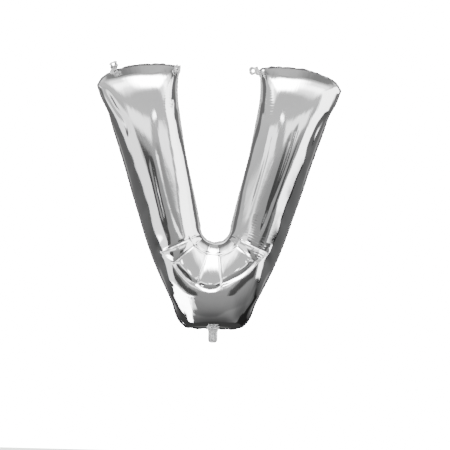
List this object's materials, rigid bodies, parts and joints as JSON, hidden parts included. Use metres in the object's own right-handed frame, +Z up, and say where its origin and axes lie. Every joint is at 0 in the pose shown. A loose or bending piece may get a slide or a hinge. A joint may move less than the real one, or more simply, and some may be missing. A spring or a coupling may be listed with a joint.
{
  "type": "letter foil balloon",
  "caption": "Inflated silver foil letter V balloon with a welded seam, a filling tail under it and film hanging tabs at the top of its arms.",
  "frame": {"origin": "centre of the gas volume, in the plane of the seam, where the air carries the balloon", "axes": "+Z up the letter from the filling tail to the open ends of its arms, +X to the right arm as the letter is read, the face that is read looks along -Y"},
  "size_m": [0.754, 0.1562, 0.8656],
  "materials": {
    "silver_foil": "mirror-bright metallised film, finely creased",
    "tail_foil": "dull silver film, wrinkled",
    "clear_film": "clear crinkled film"
  },
  "bodies": {
    "envelope": {"front_foil": "silver_foil", "back_foil": "silver_foil"},
    "filling_tail": {"tail_front": "tail_foil", "valve_film": "clear_film", "tail_back": "tail_foil"},
    "left_outer_tab": {"left_outer_tab": "clear_film"},
    "left_inner_tab": {"left_inner_tab": "clear_film"},
    "right_inner_tab": {"right_inner_tab": "clear_film"}
  },
  "joints": [
    {"name": "filling_tail_flex", "type": "hinge", "parent": "envelope", "child": "filling_tail", "pos_m": [0, 0, -0.4264], "axis": [1, 0, 0], "range_deg": [-85, 85], "stiffness_Nm_per_rad": 0.0001},
    {"name": "left_outer_tab_flex", "type": "hinge", "parent": "envelope", "child": "left_outer_tab", "pos_m": [-0.32433, 0, 0.35657], "axis": [0.9284, 0, 0.3717], "range_deg": [-85, 85], "stiffness_Nm_per_rad": 0.0001},
    {"name": "left_inner_tab_flex", "type": "hinge", "parent": "envelope", "child": "left_inner_tab", "pos_m": [-0.12249, 0, 0.35796], "axis": [-0.0686, 0, -0.9976], "range_deg": [-155, 15], "stiffness_Nm_per_rad": 0.0001},
    {"name": "right_inner_tab_flex", "type": "hinge", "parent": "envelope", "child": "right_inner_tab", "pos_m": [0.12249, 0, 0.35796], "axis": [-0.0686, 0, 0.9976], "range_deg": [-130, 40], "stiffness_Nm_per_rad": 0.0001}
  ]
}
